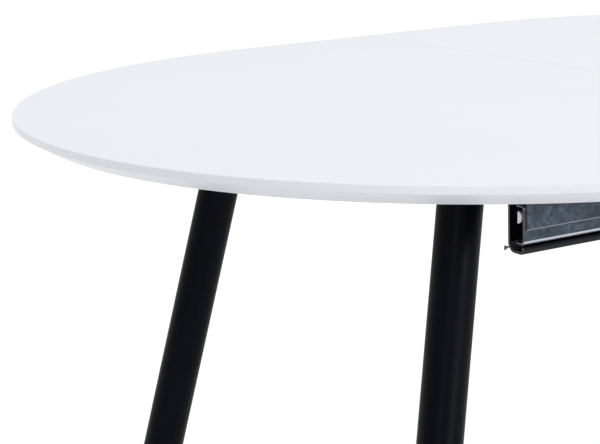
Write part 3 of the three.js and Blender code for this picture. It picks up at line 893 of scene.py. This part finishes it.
# Melamine balancing film on the underside: the same white, duller and greyer.
backing, tree, shader = new_material("white melamine backing", "#d9dadd", 0.6)
place = add(tree, "ShaderNodeTexCoord").outputs["Object"]
fibre = add(tree, "ShaderNodeTexNoise", {"Vector": place, "Scale": 240.0, "Detail": 4.0})
tone = add(tree, "ShaderNodeMix", {"Factor": fibre.outputs["Fac"]}, data_type="RGBA")
tone.inputs["A"].default_value = rgb("#d2d3d6")
tone.inputs["B"].default_value = rgb("#dedfe1")
tree.links.new(tone.outputs["Result"], shader.inputs["Base Color"])
fibre_bump = add(tree, "ShaderNodeBump", {
    "Height": fibre.outputs["Fac"], "Strength": 0.08, "Distance": 0.2 * MM,
})
tree.links.new(fibre_bump.outputs["Normal"], shader.inputs["Normal"])


def edge_profile(low, high):
    """The board's edge from its underside to its face, as (inset, z) points."""
    points = [(EDGE_INSET, low), (0.0, high - SIDE_HEIGHT)]
    for k in range(7):
        t = math.pi / 2 * k / 6
        points.append((ARRIS * (1 - math.cos(t)), high - ARRIS * (1 - math.sin(t))))
    return points


def mark_backing(mesh, way=-1):
    """Gives the faces that look straight down, or up, the second material."""
    for polygon in mesh.polygons:
        if polygon.normal.z * way > FACING:
            polygon.material_index = 1


def board(name, rings):
    """A board's mesh from its edge rings, lowest first: sides, seam and two faces."""
    bm = bmesh.new()
    rows = [[bm.verts.new(point) for point in ring] for ring in rings]
    count = len(rows[0])
    for lower, upper in zip(rows, rows[1:]):
        for i in range(count - 1):
            bm.faces.new((lower[i], lower[i + 1], upper[i + 1], upper[i]))
    bm.faces.new(rows[0])
    bm.faces.new(rows[-1])
    bm.faces.new([row[0] for row in rows] + [row[-1] for row in reversed(rows)])
    return outward(name, bm)


def drilled(name, mesh, drills):
    """The mesh with the drills' shapes cut out of it."""
    thing = bpy.data.objects.new(name, mesh)
    bpy.context.collection.objects.link(thing)
    tool = bpy.data.objects.new("drill", joined("drill", drills))
    bpy.context.collection.objects.link(tool)
    cut_step = thing.modifiers.new("holes", "BOOLEAN")
    cut_step.operation = "DIFFERENCE"
    cut_step.solver = "EXACT"
    cut_step.object = tool
    graph = bpy.context.evaluated_depsgraph_get()
    plain = bpy.data.meshes.new_from_object(thing.evaluated_get(graph))
    bpy.data.objects.remove(thing)
    bpy.data.objects.remove(tool)
    return finished(name, plain)


dowel_ends = [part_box(f"dowel_{n}") for n in (1, 2, 3)]
dowel_places = [(lo + hi) / 2 for lo, hi in dowel_ends]
for end, sx in ENDS.items():
    node = f"top_{end}"
    lo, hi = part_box(node)
    seam_x = min(abs(lo.x), abs(hi.x))
    radius = hi.y
    arc_x = max(abs(lo.x), abs(hi.x)) - radius
    rings = []
    for inset, z in edge_profile(lo.z, hi.z):
        r = radius - inset
        arc = [math.pi * (k / ARC_STEPS - 0.5) for k in range(ARC_STEPS + 1)]
        ring = [(sx * seam_x, -r, z)]
        ring += [(sx * (arc_x + r * math.cos(t)), r * math.sin(t), z) for t in arc]
        ring += [(sx * seam_x, r, z)]
        rings.append(ring)
    hole = [(0, -HOLE_DEPTH), (HOLE_RADIUS, -HOLE_DEPTH), (HOLE_RADIUS, HOLE_DEPTH), (0, HOLE_DEPTH)]
    drills = [turned_mesh("drill", hole, at, (1, 0, 0), HOLE_STEPS) for at in dowel_places]
    mesh = drilled(node, board(node, rings), drills)
    mark_backing(mesh)
    put(f"{end}_board", mesh, f"{end}_half", [laminate, backing], [node])


# ---- Dowels: fluted beech pegs glued into the left half, that find their holes in
# the right half when the table is pushed shut.
FLUTES = 14
FLUTE_STEPS = 6
FLUTE_DEPTH = 0.35 * MM
DOWEL_CHAMFER = 1.2 * MM

# Beech: pale pink-brown, straight grain along the peg, with short dark flecks.
beech, tree, shader = new_material("beech wood", "#c9a27b", 0.55)
place = add(tree, "ShaderNodeTexCoord").outputs["Object"]
along_grain = add(tree, "ShaderNodeMapping", {"Vector": place, "Scale": (50.0, 700.0, 700.0)})
grain_noise = add(tree, "ShaderNodeTexNoise", {
    "Vector": along_grain.outputs["Vector"], "Scale": 1.0, "Detail": 4.0,
})
tone = add(tree, "ShaderNodeMix", {"Factor": grain_noise.outputs["Fac"]}, data_type="RGBA")
tone.inputs["A"].default_value = rgb("#b78a61")
tone.inputs["B"].default_value = rgb("#dcbb94")
tree.links.new(tone.outputs["Result"], shader.inputs["Base Color"])
grain_bump = add(tree, "ShaderNodeBump", {
    "Height": grain_noise.outputs["Fac"], "Strength": 0.2, "Distance": 0.2 * MM,
})
tree.links.new(grain_bump.outputs["Normal"], shader.inputs["Normal"])



def lofted(name, rings):
    """A closed mesh through rings of points, with a flat face at both ends."""
    bm = bmesh.new()
    rows = [[bm.verts.new(point) for point in ring] for ring in rings]
    count = len(rows[0])
    for here, there in zip(rows, rows[1:]):
        for k in range(count):
            n = (k + 1) % count
            bm.faces.new((here[k], here[n], there[n], there[k]))
    bm.faces.new(rows[0])
    bm.faces.new(rows[-1])
    return outward(name, bm)


for number, (lo, hi) in enumerate(dowel_ends, start=1):
    at = (lo + hi) / 2
    radius = (hi.z - lo.z) / 2
    half = (hi.x - lo.x) / 2
    steps = FLUTES * FLUTE_STEPS
    body_end = half - DOWEL_CHAMFER
    stations = ((-half, DOWEL_CHAMFER), (-body_end, 0.0), (body_end, 0.0), (half, DOWEL_CHAMFER))
    rings = []
    for x, shrink in stations:
        ring = []
        for k in range(steps):
            t = 2 * math.pi * k / steps
            r = radius - shrink - FLUTE_DEPTH * max(0.0, math.cos(FLUTES * t)) ** 2
            ring.append((at.x + x, at.y + r * math.cos(t), at.z + r * math.sin(t)))
        rings.append(ring)
    mesh = finished(f"dowel_{number}", lofted("peg", rings))
    put(f"peg_{number}", mesh, "left_half", [beech], [f"dowel_{number}"])


# ---- Legs: splayed steel tubes cut level at both ends and welded under a plate,
# which four screws hold to the top. Black powder coat all over.
LEG_RADIUS = 23.75 * MM
LEG_WALL = 2 * MM
LEG_STEPS = 96
GLIDE_GAP = 0.3 * MM
PLATE_CORNER = 12 * MM
PLATE_CORNER_STEPS = 12
PLATE_EDGE = 0.8 * MM
SCREW_INSET = 14 * MM
PLATE_SCREW = {"Head radius": 5 * MM, "Head height": 2.8 * MM, "Socket radius": 2.2 * MM}
LEG_WELD = {"Bead radius": 2.2 * MM, "Step": 1.8 * MM}

for end, sx in ENDS.items():
    plate_heads = []
    weld_paths = []
    for side, sy in SIDES.items():
        leg, plate = f"leg_{side}_{end}", f"leg_plate_{side}_{end}"
        lo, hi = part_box(leg)
        p_lo, p_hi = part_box(plate)
        g_lo, g_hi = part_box(f"foot_glide_{side}_{end}")
        head = (p_lo + p_hi) / 2
        head.z = hi.z
        foot = (g_lo + g_hi) / 2
        foot.z = lo.z - GLIDE_GAP
        along = (foot - head).normalized()
        across = along.cross(Vector((0, 0, 1))).normalized()
        upright = along.cross(across)

        def on_tube(a, b, end_number):
            point = head + across * a + upright * b
            return point + along * (((hi.z, lo.z)[end_number] - point.z) / along.z)

        turns = [2 * math.pi * k / LEG_STEPS for k in range(LEG_STEPS)]
        outer = [(LEG_RADIUS * math.cos(t), LEG_RADIUS * math.sin(t)) for t in turns]
        share = 1 - LEG_WALL / LEG_RADIUS
        inner = [(a * share, b * share) for a, b in outer]
        mesh = finished(leg, tube_between(leg, outer, inner, on_tube))
        put(f"tube_{side}_{end}", mesh, f"{end}_half", [black_coat], [leg])
        weld_paths.append([tuple(on_tube(a, b, 0)) for a, b in outer])

        outline = rounded_box(p_lo.x, p_hi.x, p_lo.y, p_hi.y, PLATE_CORNER, PLATE_CORNER_STEPS)
        rings = [[(a, b, z) for a, b in outline] for z in (p_lo.z, p_hi.z)]
        mesh = finished(plate, lofted(plate, rings), PLATE_EDGE, 3)
        put(f"plate_{side}_{end}", mesh, f"{end}_half", [black_coat], [plate])
        for x in (p_lo.x + SCREW_INSET, p_hi.x - SCREW_INSET):
            for y in (p_lo.y + SCREW_INSET, p_hi.y - SCREW_INSET):
                plate_heads.append(((x, y, p_lo.z), (0, 0, -1)))
    values = {"Finish": plated, **PLATE_SCREW}
    mesh = grown("plate_screws", spots("plate_screws", plate_heads), head_tree, values)
    put(f"plate_screws_{end}", mesh, f"{end}_half", [plated])
    values = {"Finish": black_coat, **LEG_WELD}
    mesh = grown("leg_welds", loops("leg_welds", weld_paths), bead_tree, values)
    put(f"leg_welds_{end}", mesh, f"{end}_half", [black_coat])


# ---- Foot glides: black polyethylene caps pushed up into the tubes, with a slightly
# domed rim where they meet the floor.
GLIDE_ROUND = 4 * MM
GLIDE_CHAMFER = 0.4 * MM
PLUG_RADIUS = 17 * MM
PLUG_CHAMFER = 1 * MM

# Moulded polyethylene: dull black with a fine moulded grain, a little greyer in places.
glide_plastic, tree, shader = new_material("black polyethylene", "#131314", 0.55)
shader.inputs["IOR"].default_value = 1.51
place = add(tree, "ShaderNodeTexCoord").outputs["Object"]
grain_noise = add(tree, "ShaderNodeTexNoise", {"Vector": place, "Scale": 700.0, "Detail": 2.0})
tone = add(tree, "ShaderNodeMix", {"Factor": grain_noise.outputs["Fac"]}, data_type="RGBA")
tone.inputs["A"].default_value = rgb("#101011")
tone.inputs["B"].default_value = rgb("#1c1c1d")
tree.links.new(tone.outputs["Result"], shader.inputs["Base Color"])
grain_bump = add(tree, "ShaderNodeBump", {
    "Height": grain_noise.outputs["Fac"], "Strength": 0.2, "Distance": 0.1 * MM,
})
tree.links.new(grain_bump.outputs["Normal"], shader.inputs["Normal"])

for side, end in PLACES:
    node = f"foot_glide_{side}_{end}"
    lo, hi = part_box(node)
    rim = (hi.x - lo.x) / 2
    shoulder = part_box(f"leg_{side}_{end}")[0].z - GLIDE_GAP
    floor_edge = [
        (rim - GLIDE_ROUND * (1 - math.sin(t)), GLIDE_ROUND * (1 - math.cos(t)))
        for t in (math.pi / 2 * k / 6 for k in range(7))
    ]
    profile = [(0, 0)] + floor_edge
    profile += [(rim, shoulder - GLIDE_CHAMFER), (rim - GLIDE_CHAMFER, shoulder)]
    profile += [(PLUG_RADIUS, shoulder), (PLUG_RADIUS, hi.z - PLUG_CHAMFER)]
    profile += [(PLUG_RADIUS - PLUG_CHAMFER, hi.z), (0, hi.z)]
    centre = ((lo.x + hi.x) / 2, (lo.y + hi.y) / 2, 0)
    mesh = finished(node, turned_mesh(node, profile, centre, (0, 0, 1)))
    put(f"glide_{side}_{end}", mesh, f"{end}_half", [glide_plastic], [node])


# ---- Extension leaf: two boards like the top, folded with their undersides together
# and laid on the cross bars.
for word, face_down in (("lower", True), ("upper", False)):
    node = f"leaf_{word}"
    lo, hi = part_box(node)

    def level(z):
        return lo.z + hi.z - z if face_down else z

    rim = [(hi.y - inset, level(z)) for inset, z in edge_profile(lo.z, hi.z)]
    outline = rim + [(lo.y, level(hi.z)), (lo.y, level(lo.z))]
    mesh = finished(node, prism(node, outline, lo.x, hi.x))
    mark_backing(mesh, 1 if face_down else -1)
    put(f"{word}_leaf", mesh, "centre_frame", [laminate, backing], [node])


# ---- Leaf hinges: two plated hinges with thin flaps between the leaf's undersides,
# and their knuckles just past its folding edge.
KNUCKLES = 3
KNUCKLE_GAP = 0.2 * MM
KNUCKLE_CHAMFER = 0.4 * MM
KNUCKLE_STEPS = 40
FLAP_FACES = (0.4 * MM, 1.6 * MM)

for end in ENDS:
    node = f"leaf_hinge_{end}"
    lo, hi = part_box(node)
    radius = (hi.z - lo.z) / 2
    axis_y = lo.y + radius
    middle_z = (lo.z + hi.z) / 2
    shapes = []
    for s in (-1, 1):
        z0, z1 = sorted(middle_z + s * face for face in FLAP_FACES)
        flap = [(axis_y, z0), (hi.y, z0), (hi.y, z1), (axis_y, z1)]
        shapes.append(prism(node, flap, lo.x, hi.x))
    length = (hi.x - lo.x) / KNUCKLES
    for k in range(KNUCKLES):
        x0 = lo.x + k * length + KNUCKLE_GAP
        x1 = lo.x + (k + 1) * length - KNUCKLE_GAP
        narrow = radius - KNUCKLE_CHAMFER
        barrel = [(0, x0), (narrow, x0), (radius, x0 + KNUCKLE_CHAMFER)]
        barrel += [(radius, x1 - KNUCKLE_CHAMFER), (narrow, x1), (0, x1)]
        axis_at = (0, axis_y, middle_z)
        shapes.append(turned_mesh(node, barrel, axis_at, (1, 0, 0), KNUCKLE_STEPS))
    mesh = finished(node, joined(node, shapes))
    put(f"hinge_{end}", mesh, "centre_frame", [plated], [node])


# ---- Latches: flat plated levers on the left half that swing round to hook studs on
# the right half and keep the seam shut. The lever keeps the frame's own shape.
LATCH_CHAMFER = (0.8, 0.6 * MM)
PIVOT_HEAD_HEIGHT = 2 * MM
PIVOT_SHANK_RADIUS = 4 * MM
LATCH_STEPS = 48

for side in SIDES:
    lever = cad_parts[f"latch_lever_{side}"]
    lever.data.materials.clear()
    lever.data.materials.append(plated)
    for word, body in (("pivot", "left_half"), ("stud", "right_half")):
        node = f"latch_{word}_{side}"
        lo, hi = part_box(node)
        centre = ((lo.x + hi.x) / 2, (lo.y + hi.y) / 2, 0)
        radius = (hi.x - lo.x) / 2
        narrow, rise = radius * LATCH_CHAMFER[0], LATCH_CHAMFER[1]
        shape = [(0, lo.z), (narrow, lo.z), (radius, lo.z + rise)]
        if word == "pivot":
            head_top = lo.z + PIVOT_HEAD_HEIGHT
            shape += [(radius, head_top), (PIVOT_SHANK_RADIUS, head_top)]
            radius = PIVOT_SHANK_RADIUS
        shape += [(radius, hi.z), (0, hi.z)]
        mesh = finished(node, turned_mesh(node, shape, centre, (0, 0, 1), LATCH_STEPS))
        put(f"{word}_{side}", mesh, body, [plated], [node])
